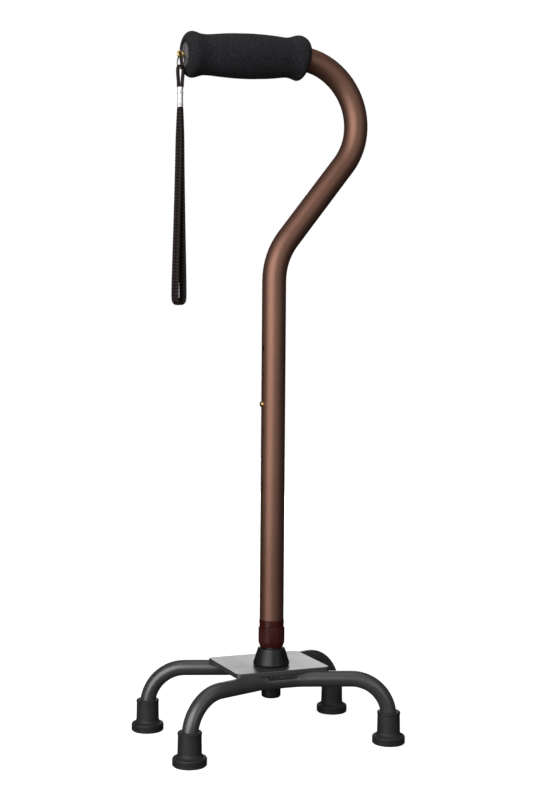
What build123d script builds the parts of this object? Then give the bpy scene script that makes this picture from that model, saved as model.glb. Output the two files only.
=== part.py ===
from build123d import *
import os
from math import atan2, cos, hypot, radians, sin, tan

# Quad walking cane. The origin is on the floor at the centre of the four feet.
# +X runs from the grip's free end towards the swan neck, +Z is up.

# ---------------------------------------------------------------- driving dimensions (mm)
shaft_y = -11.0            # the shaft stands nearer the front pair of feet

tube_r = 11.1              # upper tube, 7/8 inch
tube_wall = 1.3
tube_low_z = 111.7         # lower end of the upper tube
low_bend_z = 423.5         # the straight shaft ends here
low_bend_r = 64.0
low_bend_deg = 38.0
slant_length = 91.5
top_bend_r = 58.8
grip_droop_deg = 4.0       # the grip falls a little towards its free end

hole_count = 10
hole_pitch = 25.4
hole_top_z = 361.0
hole_r = 3.0
button_hole = 2            # the third hole from the top holds the button

grip_length = 119.4
grip_bulge_r = 20.4
grip_waist_r = 18.1
grip_free_x = -88.7        # plane of the foam's open end

stem_r = 9.0
stem_wall = 1.3
stem_low_z = 52.0
stem_top_z = 345.0
slide_gap = 0.06           # radial running clearance on the stem

plate_length = 92.0
plate_width = 77.0
plate_thick = 4.2
plate_top_z = 69.5
plate_corner_r = 5.0
plate_shift_x = 1.5        # the plate's middle is not quite over the feet's

leg_r = 7.25
leg_wall = 1.3
foot_x = 96.5
foot_y = 60.5
leg_mid_y = 32.0           # middle stretch of each leg tube
leg_kink_x = 18.0
leg_kink_r = 40.0
leg_bend_r = 35.0
leg_end_z = 7.0
leg_inset = 1.3            # depth of the groove that holds the leg tube under the plate

ferrule_height = 29.5
ferrule_neck_r = 10.6
ferrule_mouth_r = 10.3
ferrule_lip = 0.35
ferrule_base_r = 15.05
ferrule_base_z = 7.4

eye_offset = 3.5           # from the foam's end to the middle of the screw eye
eye_r = 2.3
eye_wire_r = 1.1
eye_shank_r = 1.0
ring_r = 6.4
ring_wire_r = 0.62
ring_turn_deg = -83.0      # direction in which the ring lies, seen from above

crimp_top_z = 592.8
crimp_low_z = 574.6
crimp_r = 2.85
loop_cord_r = 1.6
strap_width = 7.0
strap_thick = 1.5
strap_turn_deg = 22.0      # direction across the strap's loop, seen from above

# ---------------------------------------------------------------- values worked out from them
plate_low_z = plate_top_z - plate_thick
leg_z = plate_low_z - leg_r + leg_inset
droop = radians(grip_droop_deg)
button_z = hole_top_z - button_hole * hole_pitch

slant = radians(low_bend_deg)
slant_x = low_bend_r * (1 - cos(slant)) + slant_length * sin(slant)
slant_z = low_bend_z + low_bend_r * sin(slant) + slant_length * cos(slant)
crest_x = slant_x - top_bend_r * cos(slant)       # centre of the top bend
crest_z = slant_z + top_bend_r * sin(slant)
grip_root_x = crest_x - top_bend_r * sin(droop)   # the grip's straight axis starts here
grip_root_z = crest_z + top_bend_r * cos(droop)
grip_straight = (grip_root_x - grip_free_x) / cos(droop)
grip_free_z = grip_root_z - grip_straight * sin(droop)

eye_x = grip_free_x - eye_offset * cos(droop)
eye_z = grip_free_z - eye_offset * sin(droop)
ring_drop = 0.2                                   # the ring's wire hangs low in the eye
ring_z = eye_z - ring_drop - ring_r
ring_low_z = ring_z - ring_r

# ---------------------------------------------------------------- planes
handle_plane = Plane(origin=(0, shaft_y, 0), x_dir=(1, 0, 0), z_dir=(0, -1, 0))
# local x runs from the foam's open end along the grip's axis
grip_plane = Plane(
    origin=(grip_free_x, shaft_y, grip_free_z),
    x_dir=(cos(droop), 0, sin(droop)),
    z_dir=(0, -1, 0),
)
grip_end_plane = Plane(grip_plane.origin, x_dir=(0, 1, 0), z_dir=grip_plane.x_dir)
grip_axis = Axis((grip_free_x, shaft_y, grip_free_z), (cos(droop), 0, sin(droop)))
shaft_axis = Axis((0, shaft_y, 0), (0, 0, 1))
hole_plane = Plane(origin=(0, shaft_y, 0), x_dir=(0, -1, 0), z_dir=(-1, 0, 0))


def hanging_plane(turn_deg):
    """Upright plane through the screw eye, turned about the vertical; local y is the height."""
    turn = radians(turn_deg)
    return Plane(
        origin=(eye_x, shaft_y, 0),
        x_dir=(cos(turn), sin(turn), 0),
        z_dir=(sin(turn), -cos(turn), 0),
    )


def handle_line(low_z, free_gap):
    """Centreline of the upper tube, up to free_gap short of the foam's open end."""
    shaft = Line((0, low_z), (0, low_bend_z))
    low_bend = JernArc(shaft @ 1, shaft % 1, low_bend_r, -low_bend_deg)
    rise = Line(low_bend @ 1, low_bend @ 1 + slant_length * (low_bend % 1))
    top_bend = JernArc(rise @ 1, rise % 1, top_bend_r, low_bend_deg + 90 + grip_droop_deg)
    Line(top_bend @ 1, top_bend @ 1 + (grip_straight - free_gap) * (top_bend % 1))


def leg_line(side, end_z=leg_end_z):
    """Centreline of one bent leg tube; side is -1 for the front pair and 1 for the rear pair."""
    FilletPolyline(
        (-foot_x, side * foot_y, end_z),
        (-foot_x, side * foot_y, leg_z),
        (-leg_kink_x, side * leg_mid_y, leg_z),
        (leg_kink_x, side * leg_mid_y, leg_z),
        (foot_x, side * foot_y, leg_z),
        (foot_x, side * foot_y, end_z),
        radius=[leg_bend_r, leg_kink_r, leg_kink_r, leg_bend_r],
    )


def route_radii(points):
    """Largest tangent arc at each corner of a cord's route."""
    radii = []
    for before, corner, after in zip(points, points[1:], points[2:]):
        run_in = (corner[0] - before[0], corner[1] - before[1])
        run_out = (after[0] - corner[0], after[1] - corner[1])
        cross = run_in[0] * run_out[1] - run_in[1] * run_out[0]
        dot = run_in[0] * run_out[0] + run_in[1] * run_out[1]
        half_turn = abs(atan2(cross, dot)) / 2
        radii.append(0.45 * min(hypot(*run_in), hypot(*run_out)) / tan(half_turn))
    return radii


def report_cord(name, wire, solid, section_area, radii):
    """Print a cord's radii and compare its volume with its section times its length."""
    print(name, "length", round(wire.length, 1), "radii", [round(radius, 1) for radius in radii])
    print(name, "volume share", round(solid.volume / (section_area * wire.length), 4))


os.makedirs("parts", exist_ok=True)

# ---------------------------------------------------------------- upper tube
with BuildPart() as upper_tube:
    with BuildLine(handle_plane):
        handle_line(tube_low_z, 2.0)
    with BuildSketch(Plane(origin=(0, shaft_y, tube_low_z), z_dir=(0, 0, 1))):
        Circle(tube_r)
        Circle(tube_r - tube_wall, mode=Mode.SUBTRACT)
    sweep()
    with BuildSketch(hole_plane):
        with Locations(*[(0, hole_top_z - index * hole_pitch) for index in range(hole_count)]):
            Circle(hole_r)
    extrude(amount=2 * tube_r, mode=Mode.SUBTRACT)
upper_tube.part.label = "upper_tube"
export_step(upper_tube.part, "parts/upper_tube.step")

# ---------------------------------------------------------------- foam grip
# outline of the grip's straight part: distance from its open end, and radius
grip_outline = [
    (0.0, 14.5),
    (2.2, 18.6),
    (7.2, grip_bulge_r),
    (13.0, 19.15),
    (19.5, grip_waist_r),
    (32.0, 18.95),
    (62.5, grip_bulge_r - 0.1),
    (87.0, 19.2),
    (98.5, grip_waist_r + 0.1),
    (grip_straight, 20.0),
]
# stations on the grip's bent end: distance past the straight part, and radius
bent_stations = [(0.0, 20.0), (2.5, 20.5), (6.5, 19.0), (9.5, 15.8), (grip_length - grip_straight, 12.8)]

with BuildPart() as foam_grip:
    with BuildSketch(grip_plane):
        with BuildLine():
            Spline(*grip_outline)
            Polyline(grip_outline[-1], (grip_straight, 0), (0, 0), grip_outline[0])
        make_face()
    revolve(axis=grip_axis)
    for distance, radius in bent_stations:
        turn = droop - distance / top_bend_r
        station = Plane(
            origin=(crest_x - top_bend_r * sin(turn), shaft_y, crest_z + top_bend_r * cos(turn)),
            x_dir=(0, 1, 0),
            z_dir=(cos(turn), 0, sin(turn)),
        )
        with BuildSketch(station):
            Circle(radius)
    loft()
    with BuildLine(handle_plane):
        handle_line(low_bend_z - 20, -5.0)
    with BuildSketch(Plane(origin=(0, shaft_y, low_bend_z - 20), z_dir=(0, 0, 1))):
        Circle(tube_r + 0.05)
    sweep(mode=Mode.SUBTRACT)
foam_grip.part.label = "foam_grip"
export_step(foam_grip.part, "parts/foam_grip.step")

# ---------------------------------------------------------------- plug in the handle's end
plug_r = tube_r - tube_wall - 0.05

with BuildPart() as handle_end_plug:
    with BuildSketch(grip_plane):
        with BuildLine():
            Polyline((0.4, 0), (14, 0), (14, plug_r - 0.8), (13.2, plug_r), (2, plug_r))
            Polyline((2, plug_r), (2, tube_r - 0.2), (1.4, tube_r - 0.2))
            ThreePointArc((1.4, tube_r - 0.2), (0.7, tube_r / 2), (0.4, 0))
        make_face()
    revolve(axis=grip_axis)
    with BuildSketch(grip_end_plane):
        Circle(eye_shank_r + 0.02)
    extrude(amount=10.0, mode=Mode.SUBTRACT)
handle_end_plug.part.label = "handle_end_plug"
export_step(handle_end_plug.part, "parts/handle_end_plug.step")

# ---------------------------------------------------------------- screw eye
eye_shank_start = 0.3      # the shank begins this far inside the loop's wire

with BuildPart() as strap_screw_eye:
    with BuildSketch(grip_end_plane.offset(eye_r - eye_offset - eye_shank_start)):
        Circle(eye_shank_r)
    extrude(amount=eye_offset - eye_r + eye_shank_start + 9.5)
    with BuildSketch(Plane((eye_x, shaft_y, eye_z), x_dir=(0, 1, 0), z_dir=(1, 0, 0))):
        with Locations((0, eye_r)):
            Circle(eye_wire_r)
    revolve(axis=Axis((eye_x, shaft_y, eye_z), (0, 1, 0)))
strap_screw_eye.part.label = "strap_screw_eye"
export_step(strap_screw_eye.part, "parts/strap_screw_eye.step")

# ---------------------------------------------------------------- ring
ring_plane = hanging_plane(ring_turn_deg)

with BuildPart() as strap_ring:
    with BuildSketch(Plane((eye_x, shaft_y, ring_z), x_dir=ring_plane.x_dir, z_dir=(0, 0, 1))):
        with Locations((ring_r, 0)):
            Circle(ring_wire_r)
    revolve(axis=Axis((eye_x, shaft_y, ring_z), ring_plane.z_dir))
strap_ring.part.label = "strap_ring"
export_step(strap_ring.part, "parts/strap_ring.step")

# ---------------------------------------------------------------- cord loop over the ring
loop_plane = hanging_plane(0)
loop_apex_z = ring_low_z + ring_wire_r + loop_cord_r + 0.15
loop_leg = [(1.62, crimp_top_z + 0.08), (1.75, 598.2), (2.45, 604.6), (2.6, loop_apex_z)]
loop_points = [(-across, up) for across, up in loop_leg] + loop_leg[::-1]
loop_radii = route_radii(loop_points)

with BuildPart() as strap_cord_loop:
    with BuildLine(loop_plane) as loop_route:
        FilletPolyline(*loop_points, radius=loop_radii)
    with BuildSketch(Plane(loop_route.wire() @ 0, z_dir=loop_route.wire() % 0)):
        Circle(loop_cord_r)
    sweep()
report_cord(
    "strap_cord_loop",
    loop_route.wire(),
    strap_cord_loop.part,
    Circle(loop_cord_r, mode=Mode.PRIVATE).area,
    loop_radii,
)
strap_cord_loop.part.label = "strap_cord_loop"
export_step(strap_cord_loop.part, "parts/strap_cord_loop.step")

# ---------------------------------------------------------------- crimped tube
crimp_rim = 0.7

with BuildPart() as strap_crimp:
    with BuildSketch(loop_plane):
        with BuildLine():
            Polyline((crimp_r - crimp_rim, crimp_low_z), (0, crimp_low_z), (0, crimp_top_z))
            Polyline((0, crimp_top_z), (crimp_r - crimp_rim, crimp_top_z))
            ThreePointArc(
                (crimp_r - crimp_rim, crimp_top_z),
                (crimp_r - 0.2, crimp_top_z - 0.2),
                (crimp_r, crimp_top_z - crimp_rim),
            )
            Spline(
                (crimp_r, crimp_top_z - crimp_rim),
                (crimp_r - 0.25, crimp_top_z - 6.0),
                (crimp_r - 0.25, crimp_low_z + 6.0),
                (crimp_r, crimp_low_z + crimp_rim),
            )
            ThreePointArc(
                (crimp_r, crimp_low_z + crimp_rim),
                (crimp_r - 0.2, crimp_low_z + 0.2),
                (crimp_r - crimp_rim, crimp_low_z),
            )
        make_face()
    revolve(axis=Axis((eye_x, shaft_y, 0), (0, 0, 1)))
strap_crimp.part.label = "strap_crimp"
export_step(strap_crimp.part, "parts/strap_crimp.step")

# ---------------------------------------------------------------- wrist strap
strap_plane = hanging_plane(strap_turn_deg)
strap_leg = [
    (1.0, crimp_low_z),
    (1.1, 541.0),
    (1.9, 503.0),
    (2.95, 466.0),
    (4.0, 434.0),
    (4.6, 413.0),
    (4.5, 399.6),
]
strap_points = [(-across, up) for across, up in strap_leg] + strap_leg[::-1]
strap_radii = route_radii(strap_points)

with BuildPart() as wrist_strap:
    with BuildLine(strap_plane) as strap_route:
        FilletPolyline(*strap_points, radius=strap_radii)
    with BuildSketch(
        Plane(strap_route.wire() @ 0, x_dir=strap_plane.z_dir, z_dir=strap_route.wire() % 0)
    ):
        Rectangle(strap_width, strap_thick)
    sweep()
report_cord(
    "wrist_strap",
    strap_route.wire(),
    wrist_strap.part,
    strap_width * strap_thick,
    strap_radii,
)
wrist_strap.part.label = "wrist_strap"
export_step(wrist_strap.part, "parts/wrist_strap.step")

# ---------------------------------------------------------------- bush in the tube's lower end
bush_ring_low_z = 104.9
bush_ring_r = 11.4
bush_low_z = 92.0
bush_top_z = 124.0
bush_bore_r = stem_r + slide_gap
bush_spigot_r = tube_r - tube_wall - 0.02
collet_r = 10.35
notch_count = 8
notch_width = 4.2
slit_count = 4

with BuildPart() as collar_bush:
    with BuildSketch(handle_plane):
        with BuildLine():
            Polyline(
                (bush_bore_r, bush_low_z),
                (collet_r - 0.6, bush_low_z),
                (collet_r, bush_low_z + 0.8),
                (collet_r, bush_ring_low_z),
                (bush_ring_r, bush_ring_low_z),
                (bush_ring_r, tube_low_z - 0.5),
                (bush_ring_r - 0.4, tube_low_z),
                (bush_spigot_r, tube_low_z),
                (bush_spigot_r, bush_top_z - 0.4),
                (bush_spigot_r - 0.4, bush_top_z),
                (bush_bore_r, bush_top_z),
                (bush_bore_r, bush_low_z),
            )
        make_face()
    revolve(axis=shaft_axis)
    with BuildSketch(Plane.XY.offset(bush_ring_low_z)):
        with Locations((0, shaft_y)):
            with PolarLocations(bush_ring_r, notch_count, start_angle=22.5):
                Rectangle(1.4, notch_width)
    extrude(amount=3.2, mode=Mode.SUBTRACT)
    with BuildSketch(Plane.XY.offset(bush_low_z)):
        with Locations((0, shaft_y)):
            with PolarLocations(collet_r - 0.6, slit_count, start_angle=45):
                Rectangle(3.0, 1.2)
    extrude(amount=11.0, mode=Mode.SUBTRACT)
collar_bush.part.label = "collar_bush"
export_step(collar_bush.part, "parts/collar_bush.step")

# ---------------------------------------------------------------- lock collar
collar_r = 12.05
collar_low_z = 86.2
collar_top_z = 104.7
collar_barrel_z = 91.3
collar_bore_r = collet_r + 0.07
groove_count = 40
groove_r = 0.42

with BuildPart() as lock_collar:
    with BuildSketch(handle_plane):
        with BuildLine():
            Polyline(
                (stem_r + 0.3, collar_low_z),
                (10.0, collar_low_z),
                (10.5, collar_low_z + 0.6),
                (collar_r - 0.1, collar_barrel_z - 0.7),
                (collar_r, collar_barrel_z),
                (collar_r, collar_top_z - 0.6),
                (collar_r - 0.6, collar_top_z),
                (collar_bore_r, collar_top_z),
                (collar_bore_r, bush_low_z - 0.4),
                (stem_r + 0.3, bush_low_z - 0.4),
                (stem_r + 0.3, collar_low_z),
            )
        make_face()
    revolve(axis=shaft_axis)
    with BuildSketch(Plane.XY.offset(collar_barrel_z + 1.0)):
        with Locations((0, shaft_y)):
            with PolarLocations(collar_r + 0.1, groove_count):
                Circle(groove_r)
    extrude(amount=collar_top_z - collar_barrel_z - 2.6, mode=Mode.SUBTRACT)
lock_collar.part.label = "lock_collar"
export_step(lock_collar.part, "parts/lock_collar.step")

# ---------------------------------------------------------------- stem
with BuildPart() as stem_tube:
    with BuildSketch(Plane.XY.offset(stem_low_z)):
        with Locations((0, shaft_y)):
            Circle(stem_r)
            Circle(stem_r - stem_wall, mode=Mode.SUBTRACT)
    extrude(amount=stem_top_z - stem_low_z)
    with BuildSketch(hole_plane):
        with Locations((0, button_z)):
            Circle(hole_r - 0.1)
    extrude(amount=2 * stem_r, mode=Mode.SUBTRACT)
stem_tube.part.label = "stem_tube"
export_step(stem_tube.part, "parts/stem_tube.step")

guide_r = tube_r - tube_wall - 0.05
stem_bore_r = stem_r - stem_wall

with BuildPart() as stem_top_bush:
    with BuildSketch(handle_plane):
        with BuildLine():
            Polyline(
                (stem_r + 0.02, stem_top_z - 5.5),
                (guide_r - 0.2, stem_top_z - 5.5),
                (guide_r, stem_top_z - 5.0),
                (guide_r, stem_top_z + 1.4),
                (guide_r - 0.6, stem_top_z + 2.0),
                (4.0, stem_top_z + 2.0),
                (4.0, stem_top_z - 8.0),
                (stem_bore_r - 0.05, stem_top_z - 8.0),
                (stem_bore_r - 0.05, stem_top_z),
                (stem_r + 0.02, stem_top_z),
                (stem_r + 0.02, stem_top_z - 5.5),
            )
        make_face()
    revolve(axis=shaft_axis)
stem_top_bush.part.label = "stem_top_bush"
export_step(stem_top_bush.part, "parts/stem_top_bush.step")

# ---------------------------------------------------------------- snap button and its leaf spring
button_r = 2.8
button_tip_x = -13.2
flange_x = -6.5
spring_face_x = -5.7
spring_width = 6.0
spring_thick = 0.6
leaf_x = spring_face_x + spring_thick / 2

with BuildPart() as snap_button:
    with BuildSketch(handle_plane):
        with BuildLine():
            dome = Spline(
                (button_tip_x, button_z),
                (button_tip_x + 0.35, button_z + 1.6),
                (button_tip_x + 1.7, button_z + button_r),
                tangents=[(0, 1), (1, 0)],
            )
            Polyline(
                dome @ 1,
                (flange_x, button_z + button_r),
                (flange_x, button_z + 3.7),
                (spring_face_x, button_z + 3.7),
                (spring_face_x, button_z),
                (button_tip_x, button_z),
            )
        make_face()
    revolve(axis=Axis((0, shaft_y, button_z), (1, 0, 0)))
snap_button.part.label = "snap_button"
export_step(snap_button.part, "parts/snap_button.step")


spring_points = [
    (leaf_x, 318.0),
    (leaf_x, 302.0),
    (0.6, 266.0),
    (6.5, 288.0),
    (6.5, 314.0),
]

with BuildPart() as spring_clip:
    with BuildLine(handle_plane):
        FilletPolyline(*spring_points, radius=[12.0, 1.8, 12.0])
    with BuildSketch(Plane((leaf_x, shaft_y, 318.0), x_dir=(0, 1, 0), z_dir=(0, 0, -1))):
        Rectangle(spring_width, spring_thick)
    sweep()
spring_clip.part.label = "spring_clip"
export_step(spring_clip.part, "parts/spring_clip.step")

# ---------------------------------------------------------------- boot above the plate
boot_top_z = 85.9
boot_rim_r = 12.9
boot_skirt_r = 16.6
boot_foot_r = 15.2

with BuildPart() as stem_boot:
    with BuildSketch(handle_plane):
        with BuildLine():
            Polyline(
                (boot_skirt_r, 72.2),
                (boot_rim_r, 83.9),
                (boot_rim_r - 0.5, boot_top_z - 0.7),
                (boot_rim_r - 1.6, boot_top_z),
                (stem_r + 0.05, boot_top_z),
                (stem_r + 0.05, plate_top_z),
                (boot_foot_r, plate_top_z),
            )
            ThreePointArc((boot_foot_r, plate_top_z), (16.5, 70.4), (boot_skirt_r, 72.2))
        make_face()
    revolve(axis=shaft_axis)
stem_boot.part.label = "stem_boot"
export_step(stem_boot.part, "parts/stem_boot.step")

# ---------------------------------------------------------------- base plate
with BuildPart() as base_plate:
    with BuildSketch(Plane.XY.offset(plate_low_z)):
        with Locations((plate_shift_x, 0)):
            RectangleRounded(plate_length, plate_width, plate_corner_r)
    extrude(amount=plate_thick)
    fillet(base_plate.faces().sort_by(Axis.Z)[-1].edges(), radius=0.8)
    fillet(base_plate.faces().sort_by(Axis.Z)[0].edges(), radius=0.5)
    with BuildSketch(Plane.XY.offset(plate_low_z)):
        with Locations((0, shaft_y)):
            Circle(stem_r + 0.1)
    extrude(amount=plate_thick, mode=Mode.SUBTRACT)
    for side in (-1, 1):
        with BuildLine():
            leg_line(side)
        with BuildSketch(Plane.XY.offset(leg_end_z)):
            with Locations((-foot_x, side * foot_y)):
                Circle(leg_r)
        sweep(mode=Mode.SUBTRACT)
base_plate.part.label = "base_plate"
export_step(base_plate.part, "parts/base_plate.step")

# ---------------------------------------------------------------- weld round the stem
weld_size = 2.6

with BuildPart() as stem_weld:
    with BuildSketch(handle_plane):
        with BuildLine():
            Polyline(
                (stem_r, plate_low_z - weld_size),
                (stem_r, plate_low_z),
                (stem_r + weld_size, plate_low_z),
            )
            ThreePointArc(
                (stem_r + weld_size, plate_low_z),
                (stem_r + 0.6 * weld_size, plate_low_z - 0.6 * weld_size),
                (stem_r, plate_low_z - weld_size),
            )
        make_face()
    revolve(axis=shaft_axis)
stem_weld.part.label = "stem_weld"
export_step(stem_weld.part, "parts/stem_weld.step")

# ---------------------------------------------------------------- cap on the stem's lower end
cap_low_z = 39.7
cap_r = 8.95

with BuildPart() as stem_foot_cap:
    with BuildSketch(handle_plane):
        with BuildLine():
            Polyline(
                (0, 62.0),
                (stem_bore_r - 0.65, 62.0),
                (stem_bore_r - 0.05, 61.4),
                (stem_bore_r - 0.05, stem_low_z),
                (cap_r, stem_low_z),
                (cap_r, cap_low_z + 2.5),
            )
            ThreePointArc(
                (cap_r, cap_low_z + 2.5),
                (cap_r - 0.7, cap_low_z + 0.7),
                (cap_r - 2.5, cap_low_z),
            )
            Polyline((cap_r - 2.5, cap_low_z), (0, cap_low_z), (0, 62.0))
        make_face()
    revolve(axis=shaft_axis)
    for groove_z in (43.9, 46.6, 49.3):
        with BuildSketch(handle_plane):
            with Locations((cap_r + 0.15, groove_z)):
                Circle(0.5)
        revolve(axis=shaft_axis, mode=Mode.SUBTRACT)
stem_foot_cap.part.label = "stem_foot_cap"
export_step(stem_foot_cap.part, "parts/stem_foot_cap.step")

# ---------------------------------------------------------------- leg tubes and their welds
for pair, side in (("front", -1), ("rear", 1)):
    leg_end_plane = Plane.XY.offset(leg_end_z)
    with BuildPart() as leg_tube:
        with BuildLine():
            leg_line(side)
        with BuildSketch(leg_end_plane):
            with Locations((-foot_x, side * foot_y)):
                Circle(leg_r)
                Circle(leg_r - leg_wall, mode=Mode.SUBTRACT)
        sweep()
    leg_tube.part.label = f"{pair}_leg_tube"
    export_step(leg_tube.part, f"parts/{pair}_leg_tube.step")

    with BuildPart() as plate_weld:
        with BuildSketch(Plane.YZ.offset(-14.0)):
            with BuildLine():
                Polyline(
                    (side * 33.5, plate_low_z),
                    (side * (plate_width / 2 + 0.3), plate_low_z),
                    (side * (plate_width / 2 + 0.6), plate_low_z - 3.0),
                    (side * (plate_width / 2 + 0.3), plate_low_z - 5.5),
                    (side * 33.5, plate_low_z - 5.5),
                    (side * 33.5, plate_low_z),
                )
            make_face()
        extrude(amount=28.0)
        with BuildLine():
            leg_line(side)
        with BuildSketch(leg_end_plane):
            with Locations((-foot_x, side * foot_y)):
                Circle(leg_r)
        sweep(mode=Mode.SUBTRACT)
    plate_weld.part.label = f"{pair}_weld"
    export_step(plate_weld.part, f"parts/{pair}_weld.step")

# ---------------------------------------------------------------- rubber ferrules
washer_thick = 1.0
tread_grooves = (2.6, 3.8, 5.0)
flange_outline = [(13.9, 0), (ferrule_base_r, 1.1)]
for groove_z in tread_grooves:
    flange_outline += [
        (ferrule_base_r, groove_z - 0.25),
        (ferrule_base_r - 0.35, groove_z),
        (ferrule_base_r, groove_z + 0.25),
    ]
flange_outline += [(ferrule_base_r, 6.5), (14.5, ferrule_base_z)]

for corner, x_side, y_side in (
    ("front_left", -1, -1),
    ("front_right", 1, -1),
    ("rear_left", -1, 1),
    ("rear_right", 1, 1),
):
    foot_plane = Plane(
        origin=(x_side * foot_x, y_side * foot_y, 0), x_dir=(1, 0, 0), z_dir=(0, -1, 0)
    )
    with BuildPart() as ferrule:
        with BuildSketch(foot_plane):
            with BuildLine():
                Polyline((0, 0), (6.0, 0), (6.0, 1.2), (7.5, 1.2), (7.5, 0), (13.9, 0))
                Polyline(*flange_outline)
                shoulder = Spline(
                    (14.5, ferrule_base_z),
                    (11.7, 8.8),
                    (ferrule_neck_r, 11.6),
                    tangents=[(-1, 0.2), (0, 1)],
                )
                Polyline(
                    shoulder @ 1,
                    (ferrule_mouth_r, ferrule_height - 2.6),
                    (ferrule_mouth_r + ferrule_lip, ferrule_height - 2.2),
                    (ferrule_mouth_r + ferrule_lip, ferrule_height - 0.7),
                    (ferrule_mouth_r - 0.3, ferrule_height),
                    (0, ferrule_height),
                    (0, 0),
                )
            make_face()
        revolve(axis=Axis(foot_plane.origin, (0, 0, 1)))
        with BuildLine():
            leg_line(y_side, leg_end_z - washer_thick)
        with BuildSketch(Plane.XY.offset(leg_end_z - washer_thick)):
            with Locations((-foot_x, y_side * foot_y)):
                Circle(leg_r + 0.05)
        sweep(mode=Mode.SUBTRACT)
    ferrule.part.label = f"ferrule_{corner}"
    export_step(ferrule.part, f"parts/ferrule_{corner}.step")

with BuildPart() as ferrule_washers:
    with BuildSketch(Plane.XY.offset(leg_end_z - washer_thick)):
        with GridLocations(2 * foot_x, 2 * foot_y, 2, 2):
            Circle(leg_r - 0.25)
    extrude(amount=washer_thick)
ferrule_washers.part.label = "ferrule_washers"
export_step(ferrule_washers.part, "parts/ferrule_washers.step")
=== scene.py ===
from functools import lru_cache
from math import cos, floor, pi, radians, sin

import bpy
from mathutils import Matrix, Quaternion, Vector, noise


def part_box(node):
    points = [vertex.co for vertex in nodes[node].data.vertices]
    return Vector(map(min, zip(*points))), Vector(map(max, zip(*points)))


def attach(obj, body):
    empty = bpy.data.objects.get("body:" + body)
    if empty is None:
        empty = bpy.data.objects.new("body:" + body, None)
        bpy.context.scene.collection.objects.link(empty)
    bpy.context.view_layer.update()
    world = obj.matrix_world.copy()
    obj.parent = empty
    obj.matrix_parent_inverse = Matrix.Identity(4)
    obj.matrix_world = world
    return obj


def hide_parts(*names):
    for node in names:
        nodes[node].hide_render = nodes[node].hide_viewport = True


# A quad walking cane. Lengths are metres and angles radians, unless a name or comment says otherwise.
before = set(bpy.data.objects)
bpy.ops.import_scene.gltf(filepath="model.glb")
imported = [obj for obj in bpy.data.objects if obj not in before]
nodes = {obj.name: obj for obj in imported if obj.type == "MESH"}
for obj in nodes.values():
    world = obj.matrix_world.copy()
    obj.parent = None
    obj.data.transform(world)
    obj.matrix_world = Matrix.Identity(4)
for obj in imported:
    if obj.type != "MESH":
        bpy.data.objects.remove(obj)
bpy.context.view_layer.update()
MM = 0.001
UP = Vector((0, 0, 1))


def centre(node):
    low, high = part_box(node)
    return (low + high) / 2


def link(obj):
    bpy.context.scene.collection.objects.link(obj)
    return obj


def mesh_object(name, vertices, faces):
    mesh = bpy.data.meshes.new(name)
    mesh.from_pydata(vertices, [], faces)
    mesh.validate()
    mesh.update()
    for polygon in mesh.polygons:
        polygon.use_smooth = True
    return link(bpy.data.objects.new(name, mesh))


shaft = centre("stem_tube")
shaft_foot = Vector((shaft.x, shaft.y, 0))

# ---------------------------------------------------------------- camera
view_azimuth = 0.400        # how far round from +Y towards +X the camera looks
view_distance = 1.1831
eye_height = 0.33185
pan_left = 0.00526
tilt_down = 0.0151
roll = 0.0076
lens_mm = 57.78
sensor_mm = 36.0
nearest_seen = 10 * MM

toward_camera = Vector((-sin(view_azimuth), -cos(view_azimuth), 0))
image_left = Vector((-cos(view_azimuth), sin(view_azimuth), 0))


def make_camera():
    data = bpy.data.cameras.new("camera")
    data.lens = lens_mm
    data.sensor_width = sensor_mm
    data.clip_start = nearest_seen
    camera = link(bpy.data.objects.new("camera", data))
    camera.location = shaft_foot + toward_camera * view_distance + UP * eye_height
    camera.rotation_mode = "QUATERNION"
    heading = view_azimuth - pan_left
    level = Vector((sin(heading), cos(heading), 0))
    look = level * cos(tilt_down) - UP * sin(tilt_down)
    camera.rotation_quaternion = look.to_track_quat("-Z", "Y") @ Quaternion(UP, roll)
    bpy.context.scene.camera = camera


make_camera()

# ---------------------------------------------------------------- shader helper


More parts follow.
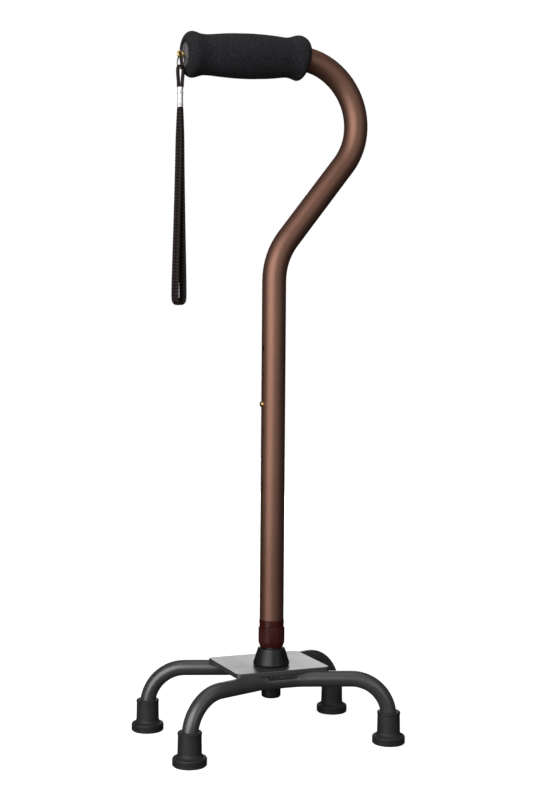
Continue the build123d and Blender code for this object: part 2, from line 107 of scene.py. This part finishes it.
class Shader:
    """A Principled material whose colour, roughness and bump come from procedural nodes.

    Its plain values are keywords named after their sockets, such as specular_ior_level.
    """

    def __init__(self, name, **sockets):
        self.material = bpy.data.materials.new(name)
        self.material.use_nodes = True
        self.tree = self.material.node_tree
        self.bsdf = self.tree.nodes["Principled BSDF"]
        self.coordinates = self.add("ShaderNodeTexCoord").outputs["Object"]
        self.relief = None
        for socket, value in sockets.items():
            self.set(socket.replace("_", " ").title().replace("Ior", "IOR"), value)

    def add(self, kind, **values):
        node = self.tree.nodes.new(kind)
        for name, value in values.items():
            setattr(node, name, value)
        return node

    def join(self, start, end):
        self.tree.links.new(start, end)

    def set(self, socket, value):
        self.bsdf.inputs[socket].default_value = value

    def stretched(self, stretch):
        mapping = self.add("ShaderNodeMapping")
        mapping.inputs["Scale"].default_value = stretch
        self.join(self.coordinates, mapping.inputs["Vector"])
        return mapping.outputs["Vector"]

    def noise(self, scale, detail=3.0, stretch=(1, 1, 1)):
        texture = self.add("ShaderNodeTexNoise")
        texture.inputs["Scale"].default_value = scale
        texture.inputs["Detail"].default_value = detail
        self.join(self.stretched(stretch), texture.inputs["Vector"])
        return texture.outputs["Fac"]

    def cells(self, scale):
        texture = self.add("ShaderNodeTexVoronoi")
        texture.inputs["Scale"].default_value = scale
        self.join(self.coordinates, texture.inputs["Vector"])
        return texture.outputs["Distance"]

    def ripples(self, scale, distortion):
        texture = self.add("ShaderNodeTexWave", wave_type="BANDS", bands_direction="X")
        texture.inputs["Scale"].default_value = scale
        texture.inputs["Distortion"].default_value = distortion
        self.join(self.coordinates, texture.inputs["Vector"])
        return texture.outputs["Fac"]

    def attribute(self, name):
        return self.add("ShaderNodeAttribute", attribute_name=name).outputs["Fac"]

    def ramp(self, source, low, high, start=0.35, end=0.65):
        """Colour that goes from low to high as the source goes from start to end."""
        ramp = self.add("ShaderNodeValToRGB")
        for element, position, colour in zip(ramp.color_ramp.elements, (start, end), (low, high)):
            element.position = position
            element.color = (*colour, 1)
        self.join(source, ramp.inputs["Fac"])
        return ramp.outputs["Color"]

    def span(self, source, low, high, start=0.3, end=0.7):
        """Number that goes from low to high as the source goes from start to end."""
        span = self.add("ShaderNodeMapRange")
        limits = {"From Min": start, "From Max": end, "To Min": low, "To Max": high}
        for name, value in limits.items():
            span.inputs[name].default_value = value
        self.join(source, span.inputs["Value"])
        return span.outputs["Result"]

    def mix(self, amount, low, high):
        """Mix of two colours. Each is a plain colour or another node's output."""
        mix = self.add("ShaderNodeMix", data_type="RGBA")
        colours = [socket for socket in mix.inputs if socket.type == "RGBA"]
        self.join(amount, mix.inputs["Factor"])
        for value, socket in zip((low, high), colours):
            if isinstance(value, bpy.types.NodeSocket):
                self.join(value, socket)
            else:
                socket.default_value = (*value, 1)
        return next(socket for socket in mix.outputs if socket.type == "RGBA")

    def colour(self, source):
        self.join(source, self.bsdf.inputs["Base Color"])

    def rough(self, source, low, high):
        """Roughness from low to high. The plain value is the middle one."""
        self.set("Roughness", (low + high) / 2)
        self.join(self.span(source, low, high), self.bsdf.inputs["Roughness"])

    def bump(self, source, depth, strength):
        """Bump of that depth, on top of any bump that is there already."""
        bump = self.add("ShaderNodeBump")
        bump.inputs["Strength"].default_value = strength
        bump.inputs["Distance"].default_value = depth
        self.join(source, bump.inputs["Height"])
        if self.relief is not None:
            self.join(self.relief, bump.inputs["Normal"])
        self.relief = bump.outputs["Normal"]
        self.join(self.relief, self.bsdf.inputs["Normal"])


def paint(shader, *names):
    """Give CAD nodes a finished material."""
    for name in names:
        mesh = nodes[name].data
        mesh.materials.clear()
        mesh.materials.append(shader.material)


# ---------------------------------------------------------------- materials
# Colours are linear red, green and blue. Texture scales are in waves or cells per metre.


def bronze_anodising():
    """Brown dyed skin over drawn aluminium, darker where it is seen edge on."""
    deep = (0.222, 0.116, 0.083)
    light = (0.258, 0.139, 0.101)
    speck = (0.155, 0.079, 0.057)
    shader = Shader("bronze_anodising", metallic=0.92, specular_ior_level=0.08)
    shader.set("Specular Tint", (0.22, 0.11, 0.08, 1))
    grain = shader.noise(1800.0, detail=2.0)
    base = shader.ramp(shader.noise(9.0), deep, light)
    shader.colour(shader.mix(shader.span(grain, 0.0, 0.35), base, speck))
    shader.rough(grain, 0.50, 0.56)
    shader.bump(shader.noise(2400.0, detail=2.0), depth=0.01 * MM, strength=0.3)
    return shader


def closed_cell_foam():
    deep = (0.0100, 0.0094, 0.0112)
    light = (0.0320, 0.0305, 0.0350)
    # painted shade: a near-black colour for the hollows of the pores
    painted_pore_shade = (0.0015, 0.0015, 0.0018)
    shader = Shader("closed_cell_foam", specular_ior_level=0.12, sheen_weight=0.02, sheen_roughness=0.6)
    cells = shader.cells(1150.0)
    cloud = shader.noise(650.0, detail=4.0)
    base = shader.ramp(cloud, deep, light, 0.3, 0.7)
    # the middles of the cells, which the bump sinks, are mixed towards the painted pore shade
    shader.colour(shader.mix(shader.span(cells, 0.55, 0.0, 0.0, 0.5), base, painted_pore_shade))
    shader.rough(cloud, 0.9, 1.0)
    shader.bump(cells, depth=0.5 * MM, strength=0.9)
    shader.bump(shader.noise(420.0), depth=0.7 * MM, strength=0.8)
    return shader


def black_enamel():
    """Powder coat: fine orange peel, and dust in the colour."""
    deep = (0.038, 0.0372, 0.0385)
    light = (0.050, 0.0490, 0.0510)
    shader = Shader("black_enamel", specular_ior_level=0.95)
    dust = shader.noise(24.0, detail=4.0)
    shader.colour(shader.ramp(dust, deep, light, 0.35, 0.7))
    shader.rough(dust, 0.33, 0.41)
    shader.bump(shader.noise(260.0, detail=2.0), depth=0.12 * MM, strength=0.35)
    shader.bump(shader.noise(1800.0, detail=1.0), depth=0.02 * MM, strength=0.4)
    return shader


def painted_weld():
    deep = (0.011, 0.011, 0.012)
    light = (0.018, 0.018, 0.019)
    shader = Shader("painted_weld", roughness=0.4)
    shader.colour(shader.ramp(shader.noise(300.0), deep, light))
    shader.bump(shader.ripples(190.0, distortion=3.0), depth=0.4 * MM, strength=0.8)
    shader.bump(shader.noise(500.0), depth=0.3 * MM, strength=0.7)
    return shader


def moulded_rubber():
    deep = (0.014, 0.0135, 0.0145)
    light = (0.022, 0.0215, 0.0230)
    shader = Shader("moulded_rubber", specular_ior_level=0.45)
    bloom = shader.noise(70.0, detail=5.0)
    shader.colour(shader.ramp(bloom, deep, light, 0.3, 0.72))
    shader.rough(bloom, 0.55, 0.7)
    shader.bump(shader.noise(1500.0, detail=2.0), depth=0.06 * MM, strength=0.6)
    shader.bump(shader.noise(190.0), depth=0.25 * MM, strength=0.3)
    return shader


def black_moulding():
    deep = (0.0070, 0.0070, 0.0078)
    light = (0.0110, 0.0110, 0.0122)
    shader = Shader("black_moulding", specular_ior_level=0.35)
    cloud = shader.noise(90.0, detail=4.0)
    shader.colour(shader.ramp(cloud, deep, light))
    shader.rough(cloud, 0.36, 0.48)
    shader.bump(shader.noise(1300.0, detail=2.0), depth=0.04 * MM, strength=0.5)
    return shader


def brown_moulding():
    deep = (0.034, 0.0050, 0.0038)
    light = (0.050, 0.0085, 0.0062)
    shader = Shader("brown_moulding", specular_ior_level=0.28)
    cloud = shader.noise(110.0, detail=4.0)
    shader.colour(shader.ramp(cloud, deep, light))
    shader.rough(cloud, 0.27, 0.37)
    shader.bump(shader.noise(800.0, detail=2.0), depth=0.04 * MM, strength=0.4)
    return shader


def grey_moulding():
    deep = (0.105, 0.105, 0.109)
    light = (0.150, 0.150, 0.156)
    shader = Shader("grey_moulding", roughness=0.5)
    shader.colour(shader.ramp(shader.noise(160.0, detail=4.0), deep, light))
    shader.bump(shader.noise(900.0, detail=2.0), depth=0.08 * MM, strength=0.5)
    return shader


def worn_metal(shader, wear, deep, light, window, roughness, grain):
    """Metal whose colour and gloss go from worn to clean with one texture, wear.

    window is where in the texture the colour changes, roughness is the worn and the clean one, and
    grain is the scale, depth and strength of the fine bump.
    """
    shader.colour(shader.ramp(wear, deep, light, *window))
    shader.rough(wear, *roughness)
    scale, depth, strength = grain
    shader.bump(shader.noise(scale, detail=2.0), depth, strength)
    return shader


def turned_brass():
    deep = (0.55, 0.33, 0.10)
    light = (0.82, 0.58, 0.24)
    shader = Shader("turned_brass", metallic=1.0)
    tarnish = shader.noise(420.0, detail=4.0)
    grain = (2600.0, 0.03 * MM, 0.5)
    return worn_metal(shader, tarnish, deep, light, (0.35, 0.6), (0.36, 0.2), grain)


def plated_steel():
    deep = (0.58, 0.57, 0.56)
    light = (0.86, 0.86, 0.87)
    shader = Shader("plated_steel", metallic=1.0)
    scuffs = shader.noise(500.0, detail=5.0, stretch=(1, 1, 0.3))
    grain = (1800.0, 0.03 * MM, 0.4)
    return worn_metal(shader, scuffs, deep, light, (0.3, 0.55), (0.26, 0.1), grain)


def bright_crimp():
    """Nickel-plated soft metal: pale, with a satin skin."""
    deep = (0.70, 0.67, 0.65)
    light = (0.90, 0.88, 0.87)
    shader = Shader("bright_crimp", metallic=0.55)
    tint = shader.noise(700.0, detail=4.0)
    grain = (1500.0, 0.02 * MM, 0.4)
    return worn_metal(shader, tint, deep, light, (0.3, 0.6), (0.36, 0.24), grain)


def dark_wire():
    """Bronzed steel wire."""
    deep = (0.16, 0.12, 0.10)
    light = (0.36, 0.31, 0.28)
    shader = Shader("dark_wire", metallic=1.0)
    rubbed = shader.noise(600.0, detail=4.0)
    grain = (2000.0, 0.02 * MM, 0.4)
    return worn_metal(shader, rubbed, deep, light, (0.35, 0.7), (0.34, 0.22), grain)


def clear_aluminium():
    """Drawn tube, with its marks along its length."""
    deep = (0.50, 0.50, 0.52)
    light = (0.68, 0.68, 0.70)
    shader = Shader("clear_aluminium", metallic=1.0)
    drawn = shader.noise(1500.0, detail=2.0, stretch=(1, 1, 0.03))
    shader.colour(shader.ramp(drawn, deep, light))
    shader.rough(drawn, 0.24, 0.36)
    shader.bump(drawn, depth=0.02 * MM, strength=0.5)
    return shader


def black_braid():
    """Dark brown-black yarn, with painted shade in the gaps between the strands: the crowns keep the
    yarn's colour and the gaps go down to near black.
    """
    # painted shade: the near-black colour of the gaps between the strands
    gap = (0.0012, 0.0008, 0.0008)
    deep = (0.020, 0.0120, 0.0112)
    light = (0.056, 0.035, 0.033)
    shader = Shader("black_braid", specular_ior_level=0.25, sheen_weight=0.05)
    shader.set("Sheen Tint", (0.75, 0.55, 0.52, 1))
    crown = shader.span(shader.attribute("crown"), 0.0, 1.0, 0.35, 0.95)
    thread = shader.noise(5200.0, detail=2.0, stretch=(1, 1, 0.35))
    yarn = shader.mix(shader.span(thread, 0.0, 0.7), deep, light)
    # the low parts of the strands are mixed towards the painted gap shade
    shader.colour(shader.mix(crown, gap, yarn))
    shader.rough(thread, 0.65, 0.8)
    shader.bump(thread, depth=0.08 * MM, strength=0.7)
    return shader


braid = black_braid()
feet = [f"ferrule_{end}_{side}" for end in ("front", "rear") for side in ("left", "right")]

paint(bronze_anodising(), "upper_tube")
paint(grey_moulding(), "handle_end_plug")
paint(turned_brass(), "strap_screw_eye", "snap_button")
paint(plated_steel(), "spring_clip", "ferrule_washers")
paint(dark_wire(), "strap_ring")
paint(brown_moulding(), "collar_bush", "lock_collar")
paint(clear_aluminium(), "stem_tube")
paint(black_moulding(), "stem_boot", "stem_foot_cap", "stem_top_bush")
paint(black_enamel(), "base_plate", "front_leg_tube", "rear_leg_tube")
paint(painted_weld(), "stem_weld", "front_weld", "rear_weld")
paint(moulded_rubber(), *feet)

# ---------------------------------------------------------------- new pieces


def dress(obj, shader, body, replaced):
    """Material and body of a new piece, and the CAD node that it stands for, which is hidden."""
    obj.data.materials.append(shader.material)
    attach(obj, body)
    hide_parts(replaced)


def ring_faces(ring_count, around):
    """Faces of a tube of rings, from each ring to the next."""
    faces = []
    for low in range(0, (ring_count - 1) * around, around):
        high = low + around
        for number in range(around):
            beside = (number + 1) % around
            faces.append((low + number, low + beside, high + beside, high + number))
    return faces


def capped_faces(ring_count, around):
    last = (ring_count - 1) * around
    start_cap = tuple(reversed(range(around)))
    end_cap = tuple(range(last, last + around))
    return ring_faces(ring_count, around) + [start_cap, end_cap]


# ---------------------------------------------------------------- cords: the line of a route


def route_line(name, points):
    """Points along the smooth line that has the route's points as its control points."""
    steps_a_span = 32
    curve = bpy.data.curves.new(name, "CURVE")
    curve.dimensions = "3D"
    spline = curve.splines.new("NURBS")
    spline.points.add(len(points) - 1)
    for control, place in zip(spline.points, points):
        control.co = (*place, 1.0)
    spline.order_u = 3
    spline.use_endpoint_u = True
    spline.resolution_u = steps_a_span
    obj = link(bpy.data.objects.new(name, curve))
    bpy.context.view_layer.update()
    line = bpy.data.meshes.new_from_object(obj)
    bpy.data.objects.remove(obj)
    return [vertex.co.copy() for vertex in line.vertices]


def even_line(places, step):
    """The same line in steps of one length, and its whole length."""
    tiny = 1e-9
    lengths = [0.0]
    for before, after in zip(places, places[1:]):
        lengths.append(lengths[-1] + (after - before).length)
    count = max(2, round(lengths[-1] / step))
    result = []
    index = 0
    for number in range(count + 1):
        along = lengths[-1] * number / count
        while index < len(lengths) - 2 and lengths[index + 1] < along:
            index += 1
        gap = max(tiny, lengths[index + 1] - lengths[index])
        result.append(places[index].lerp(places[index + 1], (along - lengths[index]) / gap))
    return result, lengths[-1]


def hanging(turn, leg):
    """Route down one leg and up its mirror image, in an upright plane through the strap's ring.

    The plane is turned from +X. A point of the leg is its distance from the plane's middle and its
    height, in millimetres.
    """
    hang = centre("strap_ring")
    foot = Vector((hang.x, hang.y, 0))
    across = Vector((cos(turn), sin(turn), 0))
    points = [(-along, height) for along, height in leg] + leg[::-1]
    return [foot + across * along * MM + Vector((0, 0, height * MM)) for along, height in points]


# ---------------------------------------------------------------- cords: the braid


def signed_power(value, power):
    return abs(value) ** power * (1 if value > 0 else -1)


@lru_cache(maxsize=None)
def braid_section(half_width, half_thick, squareness, around):
    """Points evenly round an ellipse (squareness 1) or a rounded rectangle (squareness 0.5)."""
    fine_count = 720
    fine = []
    for number in range(fine_count):
        angle = 2 * pi * number / fine_count
        across = signed_power(cos(angle), squareness) * half_width
        deep = signed_power(sin(angle), squareness) * half_thick
        fine.append(Vector((across, deep, 0)))
    loop = fine + fine[:1]
    whole = sum((after - before).length for before, after in zip(loop, loop[1:]))
    return even_line(loop, whole / around)[0][:-1]


class Braid:
    """A plaited cord.

    half_width and half_thick give the cord's sizes from the distance along it and its length.
    columns is how many rows of stitches go round it, pitch is one stitch's length, relief is its
    height, lean is how far a stitch climbs across its row, in pitches, and around is the number
    of points round the cord.
    """

    lean = 0.6
    rings_a_pitch = 7
    strand_power = 0.7      # below 1 a strand is flatter on top and has a narrower gap beside it
    column_power = 0.5      # the same for a whole column of stitches
    level = 0.75            # a strand of this height lies on the cord's plain outline

    def __init__(self, half_width, half_thick, squareness, columns, pitch, relief, around):
        self.half_width = half_width
        self.half_thick = half_thick
        self.squareness = squareness
        self.columns = columns
        self.pitch = pitch
        self.relief = relief
        self.around = around

    def crown(self, number, along):
        """How high the strands stand at a point round the cord, from 0 in a gap to 1."""
        column = self.columns * number / self.around
        inside = column - floor(column)
        way = 1 if floor(column) % 2 == 0 else -1
        strand = abs(sin(pi * (along / self.pitch + way * (inside - 0.5) * self.lean)))
        return strand ** self.strand_power * sin(pi * inside) ** self.column_power

    def ring(self, place, side, deep, along, length):
        """Points and crowns round the cord at one place on its line."""
        wide = self.half_width(along, length)
        thick = self.half_thick(along, length)
        flat = braid_section(round(wide, 6), round(thick, 6), self.squareness, self.around)
        points = []
        crowns = []
        for number, point in enumerate(flat):
            out = (side * point.x / wide ** 2 + deep * point.y / thick ** 2).normalized()
            crowns.append(self.crown(number, along))
            height = self.relief * (crowns[-1] - self.level)
            points.append(place + side * point.x + deep * point.y + out * height)
        return points, crowns

    def build(self, name, places, side):
        """Mesh along a line. side is the direction of the cord's width."""
        line, length = even_line(places, self.pitch / self.rings_a_pitch)
        vertices = []
        crowns = []
        for index, place in enumerate(line):
            ahead = line[min(len(line) - 1, index + 1)]
            behind = line[max(0, index - 1)]
            deep = (ahead - behind).normalized().cross(side).normalized()
            along = length * index / (len(line) - 1)
            points, heights = self.ring(place, side, deep, along, length)
            vertices += points
            crowns += heights
        cord = mesh_object(name, vertices, capped_faces(len(line), self.around))
        # the crowns, stored on the mesh, are the mask of the painted shade in the braid's gaps
        cord.data.attributes.new("crown", "FLOAT", "POINT").data.foreach_set("value", crowns)
        return cord, line, length


# ---------------------------------------------------------------- cord loop over the ring
crimp_low, crimp_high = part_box("strap_crimp")
ring_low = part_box("strap_ring")[0]
ring_wire_r = 0.62 * MM
loop_r = 1.6 * MM
loop_squeeze = 0.3 * MM         # the cord is this much thinner where it bends over the ring
loop_squeeze_reach = 6 * MM
loop_slack = 0.15 * MM
loop_apex = ring_low.z + 2 * ring_wire_r + loop_r + loop_slack
loop_leg = [(1.62, crimp_high.z / MM), (1.75, 598.2), (2.45, 604.6), (2.6, loop_apex / MM)]


def loop_half_width(along, length):
    """The same all the way round the loop."""
    return loop_r


def loop_half_thick(along, length):
    from_apex = abs(along - length / 2) / loop_squeeze_reach
    return loop_r - loop_squeeze * max(0.0, 1 - from_apex)


def make_cord_loop():
    sizes = {"columns": 8, "pitch": 1.9 * MM, "relief": 0.2 * MM, "around": 48}
    plait = Braid(loop_half_width, loop_half_thick, squareness=1.0, **sizes)
    places = route_line("loop_route", hanging(0, loop_leg))
    cord, line, length = plait.build("cord_loop", places, side=Vector((0, 1, 0)))
    dress(cord, braid, "strap", "strap_cord_loop")


make_cord_loop()

# ---------------------------------------------------------------- crimped tube
# (radius, height above its lower end) of the tube with its two rolled beads, in millimetres
crimp_profile = [
    (2.05, 0.0), (2.45, 0.08), (2.68, 0.35), (2.72, 0.8), (2.6, 1.3), (2.52, 1.6), (2.62, 1.9),
    (2.82, 2.2), (2.85, 2.6), (2.78, 3.0), (2.55, 3.35), (2.5, 3.8), (2.5, 11.6), (2.55, 12.0),
    (2.78, 12.35), (2.85, 12.75), (2.8, 13.15), (2.56, 13.5), (2.5, 13.9), (2.52, 16.4),
    (2.66, 16.9), (2.72, 17.5), (2.6, 17.95), (2.3, 18.15), (1.9, 18.2),
]
crimp_around = 72
seam_depth = 0.35 * MM
seam_place = 0.62               # share of the way round
seam_reach = 2.5                # points to each side


def make_crimp_tube():
    middle = centre("strap_ring")
    vertices = []
    for radius, height in crimp_profile:
        z = crimp_low.z + height * MM
        for number in range(crimp_around):
            from_seam = abs(number - crimp_around * seam_place) / seam_reach
            reach = radius * MM - seam_depth * max(0.0, 1 - from_seam)
            angle = 2 * pi * number / crimp_around
            vertices.append((middle.x + cos(angle) * reach, middle.y + sin(angle) * reach, z))
    tube = mesh_object("crimp_tube", vertices, capped_faces(len(crimp_profile), crimp_around))
    dress(tube, bright_crimp(), "strap", "strap_crimp")


make_crimp_tube()

# ---------------------------------------------------------------- wrist strap
strap_turn = radians(22.0)      # the strap's loop lies this far round from +X
strap_leg = [
    (1.0, crimp_low.z / MM), (1.1, 541.0), (1.9, 503.0), (2.95, 466.0),
    (4.0, 434.0), (4.6, 413.0), (4.5, 399.6),
]
gathered_half_width = 2.7 * MM
gathered_half_thick = 0.88 * MM
spread_gain = 1.75 * MM         # what the half width gains as the braid spreads out below the crimp
spread_reach = 40 * MM
low_gain = 0.35 * MM            # what it gains as well on the way down
low_reach = 160 * MM
thick_gain = 0.06 * MM
thick_reach = 30 * MM


def strap_half_width(along, length):
    from_crimp = min(along, length - along)
    spread = min(1.0, from_crimp / spread_reach)
    low = min(1.0, from_crimp / low_reach)
    return gathered_half_width + spread_gain * spread * (2 - spread) + low_gain * low


def strap_half_thick(along, length):
    from_crimp = min(along, length - along)
    return gathered_half_thick + thick_gain * min(1.0, from_crimp / thick_reach)


def make_wrist_strap():
    sizes = {"columns": 4, "pitch": 3.0 * MM, "relief": 0.36 * MM, "around": 80}
    plait = Braid(strap_half_width, strap_half_thick, squareness=0.5, **sizes)
    places = route_line("strap_route", hanging(strap_turn, strap_leg))
    side = Vector((-sin(strap_turn), cos(strap_turn), 0))
    cord, line, length = plait.build("wrist_strap_braid", places, side)
    dress(cord, braid, "strap", "wrist_strap")


make_wrist_strap()

# ---------------------------------------------------------------- foam grip
tube_low, tube_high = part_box("upper_tube")
tube_r = (tube_high.y - tube_low.y) / 2
top_bend_r = 58.8 * MM
droop = radians(4.0)            # how far the grip's free end hangs
free_end_x = -88.7 * MM
grip_length = 119.4 * MM
grip_around = 144
grip_step = 0.75 * MM
bore_r = tube_r + 0.05 * MM
# places of extra rings, where the ends of the foam curve most
end_stations = [0.1 * MM, 0.25 * MM, 0.5 * MM, grip_length - 0.3 * MM]
skin_inset = 0.12 * MM          # taken off the profile, because the uneven skin stands proud of it
wave_size = 16 * MM
wave_height = 0.22 * MM
grain_size = 1.9 * MM
grain_height = 0.07 * MM
small_grain_size = 0.9 * MM
small_grain_share = 0.6         # of the grain's height

crest = Vector((tube_high.x - tube_r - top_bend_r, shaft.y, tube_high.z - tube_r - top_bend_r))
grip_dir = Vector((-cos(droop), 0, -sin(droop)))
grip_root = crest + Vector((-sin(droop), 0, cos(droop))) * top_bend_r
grip_end = grip_root + grip_dir * ((grip_root.x - free_end_x) / cos(droop))
straight = (grip_root - grip_end).length

# (distance from its open end, radius) of the foam, in millimetres
foam_profile = [
    (0.0, 13.4), (0.5, 15.2), (1.5, 17.2), (3.2, 19.1), (5.5, 20.2), (8.0, 20.35), (10.5, 19.85),
    (13.5, 18.85), (17.0, 18.15), (20.0, 18.0), (25.0, 18.25), (32.0, 18.95), (40.0, 19.55),
    (48.0, 20.0), (56.0, 20.2), (63.0, 20.3), (71.0, 20.1), (79.0, 19.7), (87.0, 19.15),
    (94.0, 18.45), (98.5, 18.15), (102.0, 18.4), (105.5, 19.3), (109.0, 20.4), (111.5, 20.55),
    (114.0, 19.75), (116.5, 17.9), (118.2, 15.7), (119.1, 14.0), (119.4, 12.6),
]


def smooth(table, at):
    """Catmull-Rom value of a table of (position, value) pairs."""
    last = len(table) - 1
    index = max(k for k in range(last) if table[k][0] <= at or k == 0)
    x1, y1 = table[index]
    x2, y2 = table[index + 1]
    x0, y0 = table[index - 1] if index > 0 else (2 * x1 - x2, 2 * y1 - y2)
    x3, y3 = table[index + 2] if index + 2 <= last else (2 * x2 - x1, 2 * y2 - y1)
    share = (at - x1) / (x2 - x1)
    slope1 = (y2 - y0) / (x2 - x0) * (x2 - x1)
    slope2 = (y3 - y1) / (x3 - x1) * (x2 - x1)
    from_low = y1 * (1 + 2 * share) * (1 - share) ** 2 + slope1 * share * (1 - share) ** 2
    from_high = y2 * share ** 2 * (3 - 2 * share) + slope2 * share ** 2 * (share - 1)
    return from_low + from_high


def grip_axis(along):
    """Point on the grip's axis at a distance from its free end, and the axis's direction there."""
    if along <= straight:
        return grip_end - grip_dir * along, -grip_dir
    turn = droop - (along - straight) / top_bend_r
    place = crest + Vector((-sin(turn), 0, cos(turn))) * top_bend_r
    return place, Vector((cos(turn), 0, sin(turn)))


def unevenness(point):
    """How far the skin stands out at a point: broad waves and two sizes of fine grain."""
    broad = noise.noise(point / wave_size)
    fine = noise.noise(point / grain_size) + small_grain_share * noise.noise(point / small_grain_size)
    return wave_height * broad + grain_height * fine


def grip_ring(along, radius, uneven):
    """Points round the grip's axis at a distance from its free end."""
    place, direction = grip_axis(along)
    across = Vector((0, 1, 0))
    up = direction.cross(across).normalized()
    points = []
    for number in range(grip_around):
        angle = 2 * pi * number / grip_around
        out = across * cos(angle) + up * sin(angle)
        point = place + out * radius
        if uneven:
            point += out * unevenness(point)
        points.append(point)
    return points


def grip_stations():
    """Distances from the free end: even steps, and closer ones at the two rounded ends."""
    count = round(grip_length / grip_step)
    even = [grip_length * number / count for number in range(count + 1)]
    return sorted(set(even + end_stations))


def make_grip():
    """Sleeve of rings from the bore's open end over the skin to its far end, and then along the bore."""
    vertices = grip_ring(0.0, bore_r, uneven=False)
    stations = grip_stations()
    for along in stations:
        radius = smooth(foam_profile, along / MM) * MM - skin_inset
        vertices += grip_ring(along, radius, uneven=True)
    vertices += grip_ring(grip_length, bore_r, uneven=False)
    ring_count = len(stations) + 2
    last = (ring_count - 1) * grip_around
    faces = [face[::-1] for face in ring_faces(ring_count, grip_around)]
    for number in range(grip_around):
        beside = (number + 1) % grip_around
        faces.append((last + number, number, beside, last + beside))
    sleeve = mesh_object("foam_sleeve", vertices, faces)
    dress(sleeve, closed_cell_foam(), "upper", "foam_grip")


make_grip()

# ---------------------------------------------------------------- floor, world and lights
WHITE = (1.0, 1.0, 1.0, 1)
floor_half = 4.0
glow_reach = (0.30, 1.02)       # distances from the middle of the floor between which it brightens
glow_strength = (0.80, 1.1)
room_grey = (0.035, 0.035, 0.036, 1)
paper_deep = (0.70, 0.70, 0.70)
paper_light = (0.74, 0.74, 0.74)


def make_floor():
    """Pale paper that brightens away from the object, so that it has no edge against the white world.

    It glows, so it is kept out of the light and the reflections that the object gets.
    """
    low, high = -floor_half, floor_half
    corners = [(low, low, 0), (high, low, 0), (high, high, 0), (low, high, 0)]
    paper = mesh_object("floor", corners, [(0, 1, 2, 3)])
    paper.visible_glossy = False
    paper.visible_diffuse = False
    shader = Shader("floor_paper", roughness=0.9, specular_ior_level=0.1)
    shader.colour(shader.ramp(shader.noise(30.0), paper_deep, paper_light))
    shader.set("Emission Color", WHITE)
    reach = shader.add("ShaderNodeVectorMath", operation="LENGTH")
    shader.join(shader.coordinates, reach.inputs[0])
    glow = shader.span(reach.outputs["Value"], *glow_strength, *glow_reach)
    shader.join(glow, shader.bsdf.inputs["Emission Strength"])
    paper.data.materials.append(shader.material)


def make_world():
    """White behind the object, and a dim grey room for it to reflect."""
    world = bpy.data.worlds.new("studio")
    world.use_nodes = True
    tree = world.node_tree
    path = tree.nodes.new("ShaderNodeLightPath")
    mix = tree.nodes.new("ShaderNodeMix")
    mix.data_type = "RGBA"
    room, backdrop = [socket for socket in mix.inputs if socket.type == "RGBA"]
    room.default_value = room_grey
    backdrop.default_value = WHITE
    result = next(socket for socket in mix.outputs if socket.type == "RGBA")
    tree.links.new(path.outputs["Is Camera Ray"], mix.inputs["Factor"])
    tree.links.new(result, tree.nodes["Background"].inputs["Color"])
    bpy.context.scene.world = world
    bpy.context.scene.view_settings.view_transform = "Standard"


def around_object(left_deg, distance, height):
    """Place at an angle in degrees to the left of the camera's side of the object."""
    angle = radians(left_deg)
    return shaft_foot + (toward_camera * cos(angle) + image_left * sin(angle)) * distance + UP * height


def softbox(name, place, target, size, power):
    data = bpy.data.lights.new(name, "AREA")
    data.shape = "RECTANGLE"
    data.size, data.size_y = size
    data.energy = power
    lamp = link(bpy.data.objects.new(name, data))
    lamp.location = place
    lamp.rotation_mode = "QUATERNION"
    lamp.rotation_quaternion = (Vector(target) - Vector(place)).to_track_quat("-Z", "Y")
    lamp.visible_camera = False


make_floor()
make_world()
softbox("key_left", around_object(38, 1.7, 0.68), target=(0, 0, 0.40), size=(1.2, 1.8), power=25)
softbox("top", (0.1, -0.1, 1.9), target=(0, 0, 0.3), size=(1.5, 1.5), power=6)
softbox("right_high", around_object(-50, 1.7, 1.15), target=(0, 0, 0.6), size=(0.9, 0.5), power=2.5)
softbox("front_fill", around_object(8, 1.5, 0.55), target=(0.04, 0, 0.5), size=(0.6, 0.6), power=5)
softbox("front_high", around_object(14, 1.5, 1.35), target=(0.05, 0, 0.55), size=(0.8, 0.6), power=6)
softbox("right_fill", around_object(-34, 1.8, 0.35), target=(0, 0, 0.08), size=(0.5, 0.5), power=2.4)
softbox("back_sheet", around_object(180, 2.6, 0.62), target=(0, 0, 0.2), size=(1.1, 1.0), power=9.5)
